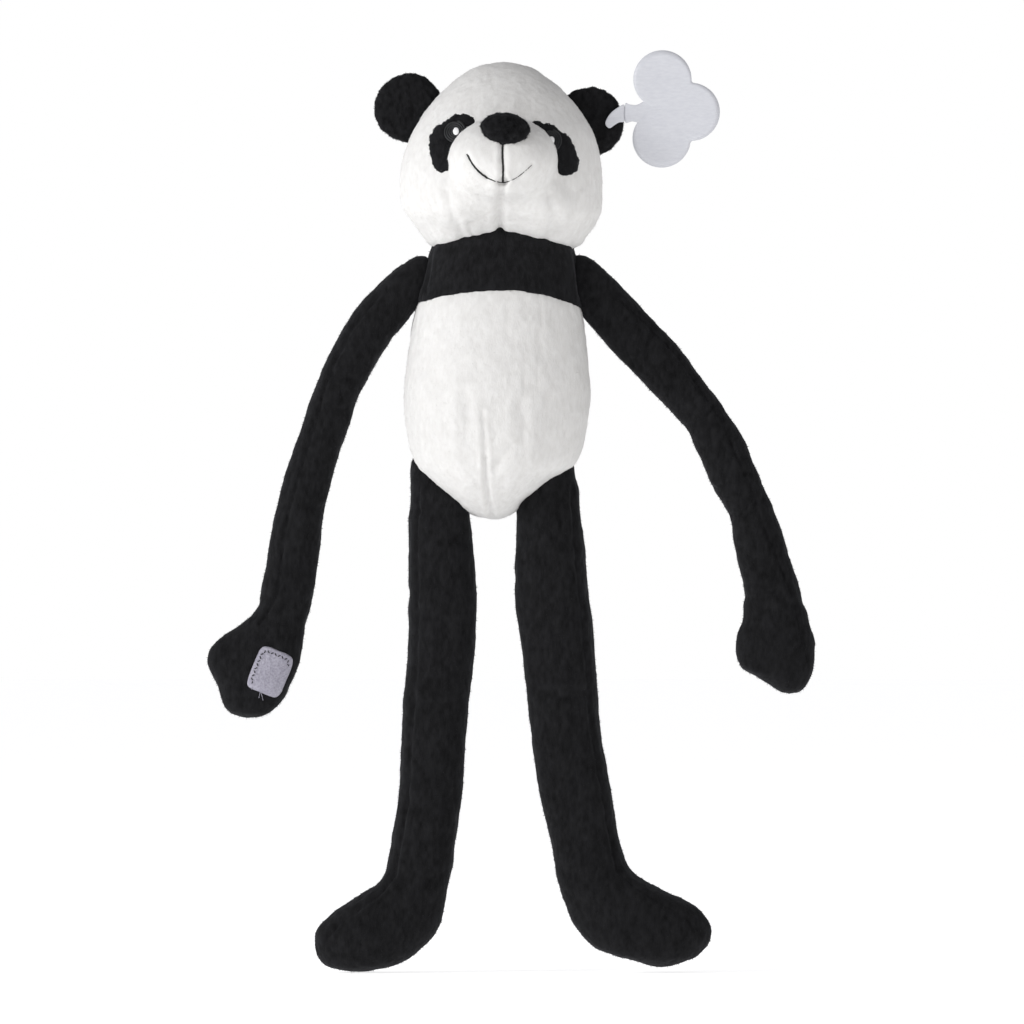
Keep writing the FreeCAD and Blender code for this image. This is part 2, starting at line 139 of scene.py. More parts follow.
# A station is x, z, half the width across the arm, half the depth.
ARM_STATIONS = {
    "right": [
        (-38, 79, 0, 0), (-40, 78, 9, 6), (-44.5, 75.5, 12.4, 9.5), (-51, 71, 13, 11.5),
        (-58.8, 64.5, 13.3, 12.2), (-75.8, 45.5, 14.2, 12.6), (-88.8, 24, 14, 12.6),
        (-97.5, 6, 13.1, 12), (-103.5, -12, 13.8, 12), (-109.8, -30, 13.2, 12),
        (-115.5, -48, 14.2, 12.2), (-119.7, -66, 14.4, 12.2), (-122.4, -84, 15.3, 12.4),
        (-125.4, -102, 15.4, 12.4), (-128.4, -120, 15.4, 12.4), (-130, -134, 12, 10), (-131, -144, 0, 0),
    ],
    "left": [
        (38.5, 80, 0, 0), (40.5, 79, 9, 6), (45, 76, 12.4, 9.5), (51.5, 70.5, 13.4, 11.5),
        (60, 60.5, 14.6, 12.3), (76.5, 42, 15.2, 12.6), (93.9, 24, 15.2, 12.6),
        (109.2, 6, 13.9, 12.2), (123.6, -12, 13, 12), (133.5, -30, 14.2, 12),
        (141.3, -48, 13.9, 12.2), (150.3, -66, 12.8, 12.2), (155.1, -84, 15.2, 12.4),
        (159.9, -102, 15.4, 12.4), (164.4, -120, 16.8, 12.4), (166, -134, 13, 10), (167, -144, 0, 0),
    ],
}
MUZZLE = ((1.9, -44, 143.6), (32.5, 25.5, 25))
EARS = {"right": (-54.8, 175.5, 21), "left": (53.8, 167.5, 21)}
EYE_PATCHES = {
    "right": [
        (-23.6, 171.4), (-17.2, 170.4), (-14, 165), (-15, 158), (-20, 149), (-25, 140), (-31, 135.6),
        (-37, 135.4), (-40.4, 139.6), (-42.2, 146), (-43, 152), (-41.8, 158), (-38.8, 162.6),
        (-33.2, 166), (-28.4, 170),
    ],
    "left": [
        (16.5, 166), (24, 166.8), (31, 164.8), (36, 161.6), (41.4, 156.6), (45.6, 148.6),
        (47.2, 140.4), (45.2, 134.8), (39.6, 132.8), (33, 133.4), (26, 140), (22, 148), (17, 154),
        (12.5, 160),
    ],
}
EYES = {"right": (-27, 159.8), "left": (30, 154.4)}
EYE_RADIUS = 6.6
EYE_TURNS = 5.2
HIGHLIGHT = (2.1, 2.7)
NOSE = ((3.1, -64.5, 161.2), (14.6, 8, 8.9))
MOUTH_LINE = [(1.7, 153), (1.5, 145), (1.9, 137), (1.7, 129.2)]
SMILE_LEFT = [(-19.4, 145.6), (-16.4, 140), (-12.4, 135.2), (-7.6, 131.6), (-2.4, 129.4), (1.7, 128.8)]
SMILE_RIGHT = [(1.7, 128.8), (6, 129.8), (10.4, 132), (15, 135.6), (19.5, 139.8)]
CHIN_SEAM = [(1.7, 129), (0.4, 121), (-0.2, 111), (0, 102)]
BELLY_DART = [(-10.4, -8), (-9.4, -20), (-8.6, -34), (-7.9, -52), (-5, -71)]
PATCHES = {"right": (-137.7, -163, FRONT), "left": (168, -148, BACK)}
PATCH_HALF = (11, 13.8)
PATCH_TURN = math.radians(22)
TAG_LOBES = [(97.5, 192.5), (114.5, 173), (97, 157)]
TAG_RADIUS = 17.5
PATCH_SQUARE = 0.34
NOSE_TILT = math.radians(-5)
NECK_LOW, NECK_HIGH = 84, 100
ELBOW_REACH, KNEE_REACH = 20, 25
EAR_BACK = 10
TUFT_HALF = 0.24
FLOOR_RADIUS, FLOOR_DROP, FLOOR_CORNERS = 14, 0.004, 64


# ---------------------------------------------------------------- mesh helpers
def link(name, verts, faces):
    """A new mesh object from points in mm."""
    mesh = bpy.data.meshes.new(name)
    mesh.from_pydata((np.asarray(verts) * MM).tolist(), [], faces)
    mesh.update()
    obj = bpy.data.objects.new(name, mesh)
    bpy.context.collection.objects.link(obj)
    return obj


def get_points(obj):
    flat = np.empty(len(obj.data.vertices) * 3, np.float32)
    obj.data.vertices.foreach_get("co", flat)
    return flat.reshape(-1, 3).astype(float) / MM


def put_points(obj, points):
    obj.data.vertices.foreach_set("co", (points * MM).astype(np.float32).ravel())
    obj.data.update()


def get_normals(obj):
    flat = np.empty(len(obj.data.vertices) * 3, np.float32)
    obj.data.vertices.foreach_get("normal", flat)
    return flat.reshape(-1, 3).astype(float)


def through(points, steps, closed=False):
    """A smooth line through the points. An open one takes its first and last as guides only."""
    p = np.array(points, float)
    if closed:
        p = np.vstack([p[-1:], p, p[:2]])
    t = (np.arange(steps) / steps)[:, None]
    runs = [
        (2 * b + (c - a) * t + (2 * a - 5 * b + 4 * c - d) * t**2 + (3 * b - a - 3 * c + d) * t**3) / 2
        for a, b, c, d in zip(p, p[1:], p[2:], p[3:])
    ]
    if not closed:
        runs.append(p[-2:-1])
    return np.vstack(runs)


def open_line(points, steps):
    """A smooth line from the first point to the last."""
    p = np.array(points, float)
    return through(np.vstack([2 * p[:1] - p[1:2], p, 2 * p[-1:] - p[-2:-1]]), steps)


def capped(rings):
    """Points and faces of a closed tube. The first and the last ring are single points."""
    start, end = rings[0].mean(0), rings[-1].mean(0)
    body = rings[1:-1]
    count, around = len(body), len(body[0])
    verts = np.vstack([start[None], np.vstack(body), end[None]])
    last = len(verts) - 1
    faces = []
    for j in range(around):
        k = (j + 1) % around
        faces.append((0, 1 + k, 1 + j))
        for i in range(count - 1):
            a, b = 1 + i * around, 1 + (i + 1) * around
            faces.append((a + j, a + k, b + k, b + j))
        faces.append((last, last - around + j, last - around + k))
    return verts, faces


def section_shape(around, power):
    angle = np.arange(around) / around * TURN
    c, s = np.cos(angle), np.sin(angle)
    return np.sign(c) * np.abs(c) ** (2 / power), np.sign(s) * np.abs(s) ** (2 / power)


def loft(rows, around=64, steps=6, power=2.2):
    """A closed form through level rows, round at both ends."""
    r = np.array(rows, float)
    ends = [[z, right, left, -back, -front] for z, left, right, front, back in (r[1], r[-2])]
    levels = through(np.vstack([ends[:1], r, ends[1:]]), steps)
    c, s = section_shape(around, power)
    rings = []
    for z, left, right, front, back in levels:
        x = (left + right) / 2 + (right - left) / 2 * c
        y = np.where(s < 0, front, back) * s
        rings.append(np.stack([x, y, np.full(around, z)], 1))
    return capped(rings)


def sleeve(stations, around=48, steps=6, power=2.2):
    """A closed form along a bent line in the XZ plane, round at both ends."""
    r = np.array(stations, float)
    ends = [[x, z, -half, -depth] for x, z, half, depth in (r[1], r[-2])]
    levels = through(np.vstack([ends[:1], r, ends[1:]]), steps)
    run = np.gradient(levels[:, :2], axis=0)
    run /= np.linalg.norm(run, axis=1)[:, None] + 1e-9
    c, s = section_shape(around, power)
    rings = []
    for (x, z, half, depth), (dx, dz) in zip(levels, run):
        rings.append(np.stack([x - dz * half * c, depth * s, z + dx * half * c], 1))
    return capped(rings)


def puff(centre, radii, power=2.0, around=64, rings=40, axis=1):
    """A closed rounded disc or ball, its poles along the given axis."""
    theta = np.linspace(0, math.pi, rings + 1)
    angle = np.arange(around) / around * TURN
    across = [i for i in range(3) if i != axis]
    out = []
    for t in theta:
        ring = np.zeros((around, 3))
        reach = max(math.sin(t), 0) ** (2 / power)
        ring[:, axis] = math.copysign(abs(math.cos(t)) ** (2 / power), math.cos(t))
        ring[:, across[0]] = reach * np.cos(angle)
        ring[:, across[1]] = reach * np.sin(angle)
        out.append(ring * np.array(radii) + np.array(centre))
    return capped(out)


def joined(parts):
    verts, faces, start = [], [], 0
    for v, f in parts:
        verts.append(v)
        faces += [tuple(start + i for i in face) for face in f]
        start += len(v)
    return np.vstack(verts), faces


def one_skin(name, parts, voxel=VOXEL):
    """The closed forms made into one even skin."""
    obj = link(name, *joined(parts))
    remesh = obj.modifiers.new("skin", "REMESH")
    remesh.mode = "VOXEL"
    remesh.voxel_size = voxel * MM
    bpy.context.view_layer.update()
    skin = bpy.data.meshes.new_from_object(obj.evaluated_get(bpy.context.evaluated_depsgraph_get()))
    obj.modifiers.clear()
    obj.data = skin
    return obj


def relax(obj, weight, rounds):
    """Evens the skin out where the weight is."""
    p = get_points(obj)
    edges = np.empty(len(obj.data.edges) * 2, np.int32)
    obj.data.edges.foreach_get("vertices", edges)
    a, b = edges.reshape(-1, 2).T
    count = np.bincount(a, minlength=len(p)) + np.bincount(b, minlength=len(p))
    for _ in range(rounds):
        near = np.stack(
            [np.bincount(a, p[b, k], len(p)) + np.bincount(b, p[a, k], len(p)) for k in range(3)], 1
        )
        p += (near / count[:, None] - p) * np.asarray(weight).reshape(-1, 1) * 0.6
    put_points(obj, p)


def step(low, high, value):
    """A smooth rise from 0 at the low value to 1 at the high one."""
    t = np.clip((value - low) / (high - low), 0, 1)
    return t * t * (3 - 2 * t)


def noise(points, size, seed, stretch=(1, 1, 1)):
    """Smooth noise from -1 to 1, with cells of that size."""
    table = np.random.default_rng(seed).uniform(-1, 1, (32, 32, 32))
    p = points / (size * np.array(stretch, float)) + 512
    cell = np.floor(p).astype(int)
    t = p - cell
    t = t * t * (3 - 2 * t)
    total = np.zeros(len(points))
    for corner in range(8):
        offset = np.array([corner & 1, corner >> 1 & 1, corner >> 2 & 1])
        i, j, k = ((cell + offset) % 32).T
        total += np.prod(np.where(offset, t, 1 - t), axis=1) * table[i, j, k]
    return total


def off_line(points, line):
    """Each point's distance to the line, both in the XZ plane."""
    q = points[:, [0, 2]]
    best = np.full(len(q), 1e9)
    for a, b in zip(line[:-1], line[1:]):
        run = b - a
        t = np.clip(((q - a) @ run) / (run @ run + 1e-9), 0, 1)
        best = np.minimum(best, np.linalg.norm(q - a - t[:, None] * run, axis=1))
    return best


def crease(obj, line, depth, width, face=FRONT, ridge=0.0):
    """Sinks the skin along a line on the front or back, with a soft ridge beside it."""
    p, n = get_points(obj), get_normals(obj)
    far = off_line(p, open_line(line, 8))
    facing = step(0.0, 0.35, n[:, 1] * face)
    sunk = -depth * np.exp(-((far / width) ** 2))
    move = sunk + ridge * np.exp(-(((far - 2.4 * width) / (1.3 * width)) ** 2))
    put_points(obj, p + n * (move * facing)[:, None])


def swell(obj, spots):
    """Soft bulges or hollows: centre x, z, radius x, radius z, height, face."""
    p, n = get_points(obj), get_normals(obj)
    move = np.zeros(len(p))
    for x, z, rx, rz, height, face in spots:
        near = np.exp(-(((p[:, 0] - x) / rx) ** 2) - ((p[:, 2] - z) / rz) ** 2)
        move += height * near * step(-0.1, 0.5, n[:, 1] * face)
    put_points(obj, p + n * move[:, None])


def pile(obj, seed, deep=1.0, nap=(1, 1, 2.2), tufts=0.12, length=1.5,
         lean=(0, 0, -0.8), shaggy=0.0):
    """The brushed pile: lumps and tufts in the skin, then short closed tufts of fibre standing off it. It
    also stores a colour value per point: random fibre tone plus painted shade, lighter on the raised pile
    and darker in its hollows.
    """
    p, n = get_points(obj), get_normals(obj)
    lump = noise(p, 9, seed) * 0.45
    clump = noise(p, 4, seed + 1, nap) * 0.2
    strand = noise(p, 1.7, seed + 2, nap) * (0.26 + shaggy)
    rng = np.random.default_rng(seed + 3)
    p = p + n * ((lump + clump + strand + rng.normal(0, 0.05, len(p))) * deep)[:, None]
    put_points(obj, p)
    # Random fibre tone plus painted shade: the noise that raises the pile also lightens it, so its hollows
    # are painted darker.
    tone_and_painted_shade = np.clip(0.5 + clump / 1.6 + strand / (0.7 + 2.4 * shaggy), 0, 1)
    picked = rng.random(len(p)) < tufts
    root, out = p[picked], get_normals(obj)[picked]
    count = len(root)
    side = np.cross(out, rng.normal(size=(count, 3)))
    side /= np.linalg.norm(side, axis=1)[:, None] + 1e-9
    other = np.cross(out, side)
    way = out + np.array(lean) * 0.9 + rng.normal(0, 0.35, (count, 3))
    way /= np.linalg.norm(way, axis=1)[:, None]
    tip = root + way * (length * rng.uniform(0.55, 1.1, count))[:, None] * deep
    base = root - out * 0.35
    corners = [
        base + TUFT_HALF * (side * math.cos(a) + other * math.sin(a)) for a in (0, TURN / 3, 2 * TURN / 3)
    ]
    added = np.stack(corners + [tip], 1).reshape(-1, 3)
    start = len(p)
    corner_faces = np.array([(0, 2, 1), (0, 1, 3), (1, 2, 3), (2, 0, 3)])
    fresh = start + np.arange(count)[:, None, None] * 4 + corner_faces
    faces = [tuple(poly.vertices) for poly in obj.data.polygons]
    faces += [tuple(f) for f in fresh.reshape(-1, 3).tolist()]
    mesh = bpy.data.meshes.new(obj.name)
    mesh.from_pydata((np.vstack([p, added]) * MM).tolist(), [], faces)
    mesh.update()
    obj.data = mesh
    tip_shade = np.tile([0.45, 0.45, 0.45, 1.0], count)
    store = mesh.attributes.new("pile", "FLOAT", "POINT")
    store.data.foreach_set("value", np.concatenate([tone_and_painted_shade, tip_shade]).astype(np.float32))


def surface(tree, x, z, face=FRONT):
    """The depth of a surface at (x, z), seen from the front or the back."""
    hit = tree.ray_cast((x, 300 * face, z), (0, -face, 0))[0]
    return hit.y if hit else 0.0


def tree_of(verts, faces):
    return BVHTree.FromPolygons([tuple(v) for v in np.asarray(verts).tolist()], faces)


def tree_of_object(obj):
    return tree_of(get_points(obj), [tuple(poly.vertices) for poly in obj.data.polygons])


def pad_on(name, edge, tree, rise, sink, rings=14, face=FRONT, lap=4, rough=0.0, seed=0):
    """A closed pad that lies on a surface, thickest in the middle, its outline given in the XZ plane."""
    edge = np.asarray(edge)
    centre = edge.mean(0)
    if rough:
        flat = np.stack([edge[:, 0], np.zeros(len(edge)), edge[:, 1]], 1)
        push = noise(flat, 1.3, seed) * rough
        edge = edge + (edge - centre) / np.linalg.norm(edge - centre, axis=1)[:, None] * push[:, None]
    share = np.linspace(0, 1, rings + 1)
    top, under = [], []
    for s in share:
        flat = centre + (edge - centre) * s
        y = np.array([surface(tree, x, z, face) for x, z in flat])
        lift = rise * max(1 - s**lap, 0) ** 0.5
        top.append(np.stack([flat[:, 0], y + face * lift, flat[:, 1]], 1))
        under.append(np.stack([flat[:, 0], y - face * sink, flat[:, 1]], 1))
    return link(name, *capped(top + under[::-1][1:]))


def thread(points, radius, around=6):
    """A closed fine tube along points in space, tapered at its ends."""
    p = np.asarray(points, float)
    run = np.gradient(p, axis=0)
    run /= np.linalg.norm(run, axis=1)[:, None] + 1e-9
    side = np.cross(run, (0.03, 1.0, 0.05))
    side /= np.linalg.norm(side, axis=1)[:, None] + 1e-9
    other = np.cross(run, side)
    angle = np.arange(around) / around * TURN
    rings = [np.repeat((p[0] - run[0] * radius)[None], around, 0)]
    for at, u, v in zip(p, side, other):
        rings.append(at + radius * (np.outer(np.cos(angle), u) + np.outer(np.sin(angle), v)))
    rings.append(np.repeat((p[-1] + run[-1] * radius)[None], around, 0))
    return capped(rings)


def stitches(line, tree, pitch, length, radius, sink=0.0, slant=0.0, face=FRONT):
    """Separate short stitches laid along a line on a surface."""
    path = np.array([(x, surface(tree, x, z, face), z) for x, z in open_line(line, 12)])
    gone = np.concatenate([[0], np.cumsum(np.linalg.norm(np.diff(path, axis=0), axis=1))])
    parts = []
    for i, at in enumerate(np.arange(length / 2, gone[-1], pitch)):
        a, b = (
            np.array([np.interp(at + d * length / 2, gone, path[:, k]) for k in range(3)]) for d in (-1, 1)
        )
        swing = slant * (1 if i % 2 else -1)
        across = np.array([b[2] - a[2], 0, a[0] - b[0]]) * swing
        bow = (a + b) / 2 + np.array([0, face * (radius * 0.6 - sink), 0])
        ends = [a - across + (0, -face * sink, 0), bow, b + across + (0, -face * sink, 0)]
        parts.append(thread(open_line(ends, 3), radius))
    return parts


# ---------------------------------------------------------------- materials
def mixed(nodes, links, factor, low, high):
    """A colour between two, by a value from 0 to 1."""
    mix = nodes.new("ShaderNodeMix")
    mix.data_type = "RGBA"
    mix.inputs[6].default_value = (*low, 1)
    mix.inputs[7].default_value = (*high, 1)
    links.new(factor, mix.inputs[0])
    return mix.outputs[2]


def finish_of(name, dark, light, scale, stretch=(1, 1, 0.45), roughness=0.95, sheen=0.0,
              sheen_tint=(1, 1, 1), bump=0.4, relief=0.0006, pile_shade_share=0.5, specular=0.15,
              patches=0.2):
    """A fibre finish: two tones by fine noise and by the pile value (random fibre tone plus painted relief
    shade), sheen, and a fine bump.
    """
    material = bpy.data.materials.new(name)
    material.use_nodes = True
    nodes, links = material.node_tree.nodes, material.node_tree.links
    shader = nodes["Principled BSDF"]
    place = nodes.new("ShaderNodeTexCoord")
    turn = nodes.new("ShaderNodeMapping")
    turn.inputs["Scale"].default_value = stretch
    links.new(place.outputs["Object"], turn.inputs["Vector"])
    grains = []
    for factor, detail in ((1.0, 4.0), (0.09, 3.0), (2.6, 2.0)):
        grain = nodes.new("ShaderNodeTexNoise")
        grain.inputs["Scale"].default_value = scale * factor
        grain.inputs["Detail"].default_value = detail
        grain.inputs["Roughness"].default_value = 0.6
        links.new(turn.outputs["Vector"], grain.inputs["Vector"])
        grains.append(grain.outputs["Fac"])
    tone = grains[0]
    # The pile value is random fibre tone plus painted shade, lighter on the raised pile and darker in its
    # hollows.
    if pile_shade_share:
        pile_shade_attribute = nodes.new("ShaderNodeAttribute")
        pile_shade_attribute.attribute_name = "pile"
        blend = nodes.new("ShaderNodeMix")
        blend.inputs[0].default_value = pile_shade_share
        links.new(grains[0], blend.inputs[2])
        links.new(pile_shade_attribute.outputs["Fac"], blend.inputs[3])
        tone = blend.outputs[0]
    patchy = nodes.new("ShaderNodeMix")
    patchy.inputs[0].default_value = patches
    links.new(tone, patchy.inputs[2])
    links.new(grains[1], patchy.inputs[3])
    spread = nodes.new("ShaderNodeMapRange")
    spread.inputs["From Min"].default_value = 0.26
    spread.inputs["From Max"].default_value = 0.74
    links.new(patchy.outputs[0], spread.inputs["Value"])
    links.new(mixed(nodes, links, spread.outputs["Result"], dark, light), shader.inputs["Base Color"])
    shader.inputs["Roughness"].default_value = roughness
    shader.inputs["Specular IOR Level"].default_value = specular
    shader.inputs["Sheen Weight"].default_value = sheen
    shader.inputs["Sheen Roughness"].default_value = 0.45
    shader.inputs["Sheen Tint"].default_value = (*sheen_tint, 1)
    height = nodes.new("ShaderNodeMix")
    height.inputs[0].default_value = 0.5
    links.new(grains[0], height.inputs[2])
    links.new(grains[2], height.inputs[3])
    relief_node = nodes.new("ShaderNodeBump")
    relief_node.inputs["Strength"].default_value = bump
    relief_node.inputs["Distance"].default_value = relief
    links.new(height.outputs[0], relief_node.inputs["Height"])
    links.new(relief_node.outputs["Normal"], shader.inputs["Normal"])
    return material


FINISH = {
    "black_plush": finish_of("black_plush", (0.0022, 0.0022, 0.0025), (0.014, 0.014, 0.0155), 620,
                             sheen=0.07, sheen_tint=(0.8, 0.82, 0.9), bump=0.6, patches=0.12),
    "white_plush": finish_of("white_plush", (0.69, 0.68, 0.665), (0.79, 0.785, 0.775), 520,
                             sheen=0.1, bump=0.4, pile_shade_share=0.4, patches=0.1),
    "black_thread": finish_of("black_thread", (0.004, 0.004, 0.004), (0.02, 0.02, 0.02), 1500,
                              roughness=0.6, bump=0.5, relief=0.0002, pile_shade_share=0, specular=0.3),
    "grey_thread": finish_of("grey_thread", (0.009, 0.0095, 0.0105), (0.022, 0.023, 0.025), 1500,
                             roughness=0.5, bump=0.5, relief=0.0002, pile_shade_share=0, specular=0.35),
    "white_thread": finish_of("white_thread", (0.8, 0.8, 0.8), (0.95, 0.95, 0.95), 1500,
                              roughness=0.5, bump=0.4, relief=0.0002, pile_shade_share=0, specular=0.35),
    "fastener_tape": finish_of("fastener_tape", (0.24, 0.23, 0.29), (0.50, 0.485, 0.56), 900,
                               stretch=(1, 1, 1), roughness=0.8, sheen=0.15, bump=0.8, pile_shade_share=0),
    "tag_sheet": finish_of("tag_sheet", (0.60, 0.61, 0.66), (0.70, 0.71, 0.75), 260, stretch=(1, 1, 3),
                           roughness=0.42, bump=0.12, relief=0.0002, pile_shade_share=0, specular=0.4),
}


def coat(obj, slot, smooth=True):
    """The finish named by the slot, and smooth shading unless told not to."""
    obj.data.materials.clear()
    obj.data.materials.append(FINISH[slot])
    if smooth:
        for poly in obj.data.polygons:
            poly.use_smooth = True


def dress(obj, slot, nodes, body=None, bend=None):
    """The finish named by the slot; hides the CAD nodes that it stands for and parents it to its body, or,
    given a bend, only bakes its transform.
    """
    coat(obj, slot)
    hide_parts(*nodes)
    if bend:
        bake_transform(obj)
    else:
        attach(obj, body)


JOINTS = {j["name"]: j for j in frame["record"]["behaviour"]["joints"]}


def metres(point):
    return tuple(float(v) * MM for v in point)


def about(joint, way, reach):
    """Two points that far before and after a joint along a direction, in metres."""
    at = np.array(JOINTS[joint]["pos_m"]) / MM
    run = np.array(way, float)
    run /= np.linalg.norm(run)
    return metres(at - run * reach), metres(at + run * reach)


# ---------------------------------------------------------------- head
def lift_chin(verts):
    """Raises the underside in front to the inverted V of the neck seam."""
    v = np.array(verts)
    reach = np.where(v[:, 0] < 0, 34, 41)
    rise = 9.3 * np.clip(1 - np.abs(v[:, 0]) / reach, 0, 1)
    rise *= 1 - step(93, 124, v[:, 2])
    rise *= 1 - step(-5, 15, v[:, 1])
    v[:, 2] += rise
    return v


base_verts, base_faces = loft(HEAD_ROWS, around=96)
base_verts = lift_chin(base_verts)
brow_tree = tree_of(base_verts, base_faces)

head = one_skin("head_cover", [(base_verts, base_faces), puff(*MUZZLE, power=2.15)], FINE_VOXEL)
relax(head, 1.0, 3)
p = get_points(head)
under = 1 - step(124, 141, p[:, 2])
under *= 1 - step(-42, -36, p[:, 1])
under *= 1 - step(38, 46, np.abs(p[:, 0] - 2))
relax(head, under, 60)
swell(head, [
    (-26, 117, 17, 13, 3.0, FRONT), (29, 116, 18, 13, 3.4, FRONT), (-15, 143, 13, 11, 1.5, FRONT),
    (18, 143, 13, 11, 1.5, FRONT), (2, 127, 12, 5, 1.6, FRONT), (0, 178, 26, 14, 1.0, FRONT),
    (-40, 104, 9, 6, -0.8, FRONT), (36, 101, 7, 7, -0.9, FRONT),
])
crease(head, CHIN_SEAM, 2.6, 2.2, ridge=0.6)
crease(head, MOUTH_LINE, 1.5, 1.6, ridge=0.3)
crease(head, SMILE_LEFT, 1.1, 1.4)
crease(head, SMILE_RIGHT, 1.1, 1.4)
crease(head, [(-31, 124), (-29, 113), (-24, 103), (-21, 97)], 0.9, 2.2, ridge=0.5)
crease(head, [(-18, 104), (-17, 99), (-15, 96)], 0.8, 1.6, ridge=0.4)
crease(head, [(30, 121), (33, 111), (31, 101), (27, 96)], 0.8, 2.4, ridge=0.5)
crease(head, [(44, 124), (46, 114), (43, 104)], 0.5, 2.6, ridge=0.3)
crease(head, [(2, 202), (2, 180), (1, 140), (1, 110), (1, 90)], 1.3, 1.4, face=BACK, ridge=0.2)
face_tree = tree_of_object(head)
pile(head, PILE_SEED, deep=0.8, nap=(1.2, 1.2, 2.4), tufts=0.1, length=1.1)
dress(head, "white_plush",
      ["face_panel", "head_back_panel", "head_stuffing", "muzzle_cover", "muzzle_stuffing"],
      body="head")

for side, outline in EYE_PATCHES.items():
    edge = through(outline, 9, closed=True)
    pad = pad_on(f"{side}_eye_patch_cover", edge, brow_tree, 1.7, 2.5, rings=13, rough=0.5, seed=31)
    pad_tree = tree_of_object(pad)
    pile(pad, PILE_SEED + 40, deep=0.7, nap=(1, 1, 1.3), tufts=0.6, length=1.2, shaggy=0.1)
    dress(pad, "black_plush", [f"{side}_eye_patch"], body="head")
    x0, z0 = EYES[side]
    wind = np.linspace(0.12, 1, 150)
    reach = EYE_RADIUS * wind
    angle = wind * EYE_TURNS * TURN
    spiral = []
    for r, a in zip(reach, angle):
        x, z = x0 + r * math.cos(a), z0 + r * math.sin(a)
        spiral.append((x, surface(pad_tree, x, z) - 0.5, z))
    eye = link(f"{side}_eye_rings", *thread(spiral, 0.68))
    dress(eye, "grey_thread", [f"{side}_eye"], body="head")
    spin = np.arange(40) / 40 * TURN
    oval = np.stack([x0 + 0.8 + HIGHLIGHT[0] * np.cos(spin), z0 + 0.3 + HIGHLIGHT[1] * np.sin(spin)], 1)
    shine = pad_on(f"{side}_eye_shine", oval, pad_tree, 1.9, 0.0, rings=6)
    dress(shine, "white_thread", [f"{side}_eye_highlight"], body="head")

nose_verts, nose_faces = puff((0, 0, 0), NOSE[1], power=2.3, around=84, rings=50)
spun = nose_verts.copy()
spun[:, 0] = nose_verts[:, 0] * math.cos(NOSE_TILT) - nose_verts[:, 2] * math.sin(NOSE_TILT)
spun[:, 2] = nose_verts[:, 0] * math.sin(NOSE_TILT) + nose_verts[:, 2] * math.cos(NOSE_TILT)
spun[:, 2] -= 1.2 * (1 - (spun[:, 0] / NOSE[1][0]) ** 2) * (spun[:, 2] < 0)
nose = link("nose_cover", spun + np.array(NOSE[0]), nose_faces)
pile(nose, PILE_SEED + 60, deep=1.0, nap=(1, 1, 1.1), tufts=0.5, length=1.2, shaggy=0.45)
dress(nose, "black_plush", ["nose"], body="head")

mouth = link("mouth_thread", *joined(
    stitches(MOUTH_LINE, face_tree, 1.5, 2.6, 0.72, sink=0.3, slant=0.06)
    + stitches(SMILE_LEFT[:4], face_tree, 1.5, 2.6, 0.62, sink=0.25, slant=0.06)
    + stitches(SMILE_LEFT[3:5], face_tree, 1.6, 2.2, 0.4, sink=0.3)
    + stitches(SMILE_LEFT[4:], face_tree, 1.6, 2.2, 0.26, sink=0.3)
    + stitches(SMILE_RIGHT, face_tree, 1.9, 1.9, 0.26, sink=0.28)
))
dress(mouth, "black_thread", ["mouth_stitching"], body="head")

for side, (x, z, radius) in EARS.items():
    disc = puff((x, EAR_BACK, z), (radius, 6.8, radius), power=2.5)
    ear = one_skin(f"{side}_ear_cover", [disc], FINE_VOXEL)
    relax(ear, 1.0, 2)
    p, n = get_points(ear), get_normals(ear)
    out = np.hypot(p[:, 0] - x, p[:, 2] - z)
    dish = -1.8 * np.exp(-((out / 11) ** 2)) * step(0.1, 0.8, -n[:, 1])
    seam = -0.9 * np.exp(-(((p[:, 1] - EAR_BACK) / 1.0) ** 2)) * step(radius - 4, radius - 1, out)
    put_points(ear, p + n * (dish + seam)[:, None])
    pile(ear, PILE_SEED + 80, deep=1.0, nap=(1, 1, 1.2), tufts=0.55, length=1.05,
         lean=(0, -0.2, -0.5), shaggy=0.3)
    dress(ear, "black_plush", [f"{side}_ear_front", f"{side}_ear_back"], body="head")


# ---------------------------------------------------------------- trunk
def bow_seam(verts):
    """Arches the seam between the band and the belly."""
    v = np.array(verts)
    x = v[:, 0]
    arch = np.where(x < 0, 8.4 - 0.0032 * x**2, 8.4 - 0.0045 * x**2)
    v[:, 2] += arch * np.exp(-(((v[:, 2] - 58) / 17) ** 2))
    return v


torso_verts, torso_faces = loft(TORSO_ROWS, around=96)
torso = one_skin("torso_cover", [(bow_seam(torso_verts), torso_faces)])
relax(torso, 1.0, 3)
swell(torso, [
    (-28, -30, 18, 20, 1.6, FRONT), (14, -30, 18, 20, 1.6, FRONT), (-6, 20, 26, 24, 1.2, FRONT),
    (-42, 20, 6, 22, -0.7, FRONT), (-20, -52, 9, 10, 1.0, FRONT), (8, -50, 9, 10, 1.0, FRONT),
])
crease(torso, BELLY_DART, 0.6, 1.3, ridge=0.3)
crease(torso, BELLY_DART[2:], 0.9, 1.2, ridge=0.25)
crease(torso, [(-3.6, -41), (1.5, -35), (6.6, -28)], 0.6, 2.2, ridge=0.4)
crease(torso, [(-21, 2), (-19, -12), (-20, -26)], 0.45, 3.0, ridge=0.3)
crease(torso, [(12, -2), (15, -16), (12, -30)], 0.45, 3.0, ridge=0.3)
crease(torso, [(0, 80), (-2, 40), (-3, 0), (-4, -40), (-4.6, -72)], 1.4, 1.5, face=BACK, ridge=0.3)
pile(torso, PILE_SEED + 100, deep=0.85, nap=(1.2, 1.2, 2.4), tufts=0.1, length=1.2)
dress(torso, "white_plush", ["belly_panel", "back_panel", "torso_stuffing"], body="torso")

